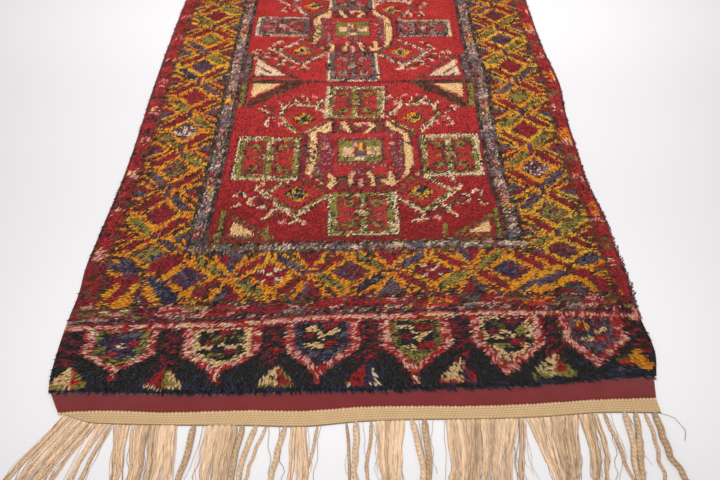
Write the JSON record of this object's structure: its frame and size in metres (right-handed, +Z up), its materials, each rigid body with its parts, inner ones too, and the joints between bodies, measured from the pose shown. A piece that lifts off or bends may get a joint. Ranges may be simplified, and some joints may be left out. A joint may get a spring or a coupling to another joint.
{
  "type": "anatolian rug",
  "caption": "Hand-knotted wool rug with a thick pile, red flat-woven ends and tan end bands with a long loose fringe, lying flat on a floor.",
  "frame": {"origin": "middle of the underside of the pile, on the floor", "axes": "+Y runs along the rug from the near end to the far end, +X across it, +Z up out of the pile"},
  "size_m": [1.1977, 2.5123, 0.0132],
  "materials": {
    "wool_pile": "matt knotted wool pile in red, yellow, green and navy",
    "fringe_yarn": "matt undyed tan yarn, woven band and loose ends"
  },
  "bodies": {
    "root": {"rug": "wool_pile", "fringe_near": "fringe_yarn", "fringe_far": "fringe_yarn"}
  },
  "joints": []
}
